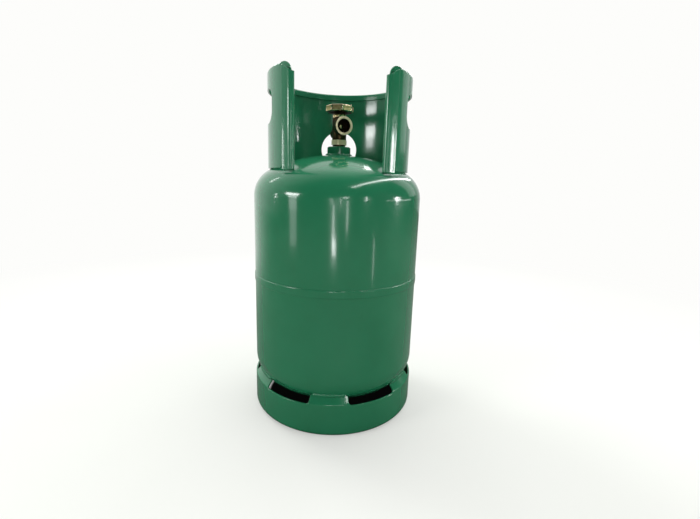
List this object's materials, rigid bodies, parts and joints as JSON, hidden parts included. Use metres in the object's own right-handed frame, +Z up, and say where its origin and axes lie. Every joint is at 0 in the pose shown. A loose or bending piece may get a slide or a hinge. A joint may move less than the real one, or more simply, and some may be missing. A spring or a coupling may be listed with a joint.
{
  "type": "gas cylinder",
  "caption": "Welded steel gas cylinder with a foot ring, an open round valve guard with hand holes and a brass handwheel valve.",
  "frame": {"origin": "on the floor, under the cylinder's axis, in the middle of the foot ring", "axes": "+Z up the cylinder's axis; the guard's opening faces -Y; +X to the right, seen from the opening"},
  "size_m": [0.303, 0.303, 0.5923],
  "materials": {
    "paint": "gloss green enamel",
    "brass": "dull forged brass, bright where machined",
    "wheel_brass": "plain brass, slightly dull",
    "steel": "zinc plated",
    "nylon": "plain",
    "rubber": "plain"
  },
  "bodies": {
    "cylinder": {"lower_shell": "paint", "upper_shell": "paint", "seam_weld": "paint", "foot_ring": "paint", "foot_ring_welds": "paint", "valve_guard": "paint", "guard_welds": "paint", "bung": "paint", "bung_weld": "paint", "valve_body": "brass", "bonnet": "brass", "bonnet_washer": "nylon", "relief_cap": "brass", "relief_spring": "steel"},
    "wheel": {"spindle": "brass", "spindle_o_rings": "rubber", "spindle_washer": "nylon", "handwheel": "wheel_brass", "handwheel_washer": "steel", "handwheel_nut": "steel"},
    "seat": {"seat_carrier": "brass", "seat_disc": "nylon"},
    "relief": {"relief_poppet": "brass", "relief_seal": "rubber"}
  },
  "joints": [
    {"name": "handwheel_turn", "type": "hinge", "parent": "cylinder", "child": "wheel", "pos_m": [0, 0, 0.54337], "axis": [0, 0, 1], "range_deg": [0, 720]},
    {"name": "seat_lift", "type": "slide", "parent": "wheel", "child": "seat", "axis": [0, 0, 1], "range_m": [0, 0.00402]},
    {"name": "relief_lift", "type": "slide", "parent": "cylinder", "child": "relief", "axis": [-0.342, 0.9397, 0], "range_m": [0, 0.0015], "stiffness_N_per_m": 2000, "springref_m": -0.002, "deforming": ["relief_spring"]}
  ],
  "couplings": [
    {"joint": "seat_lift", "follows": "handwheel_turn", "m_per_rad": 0.00031831}
  ]
}
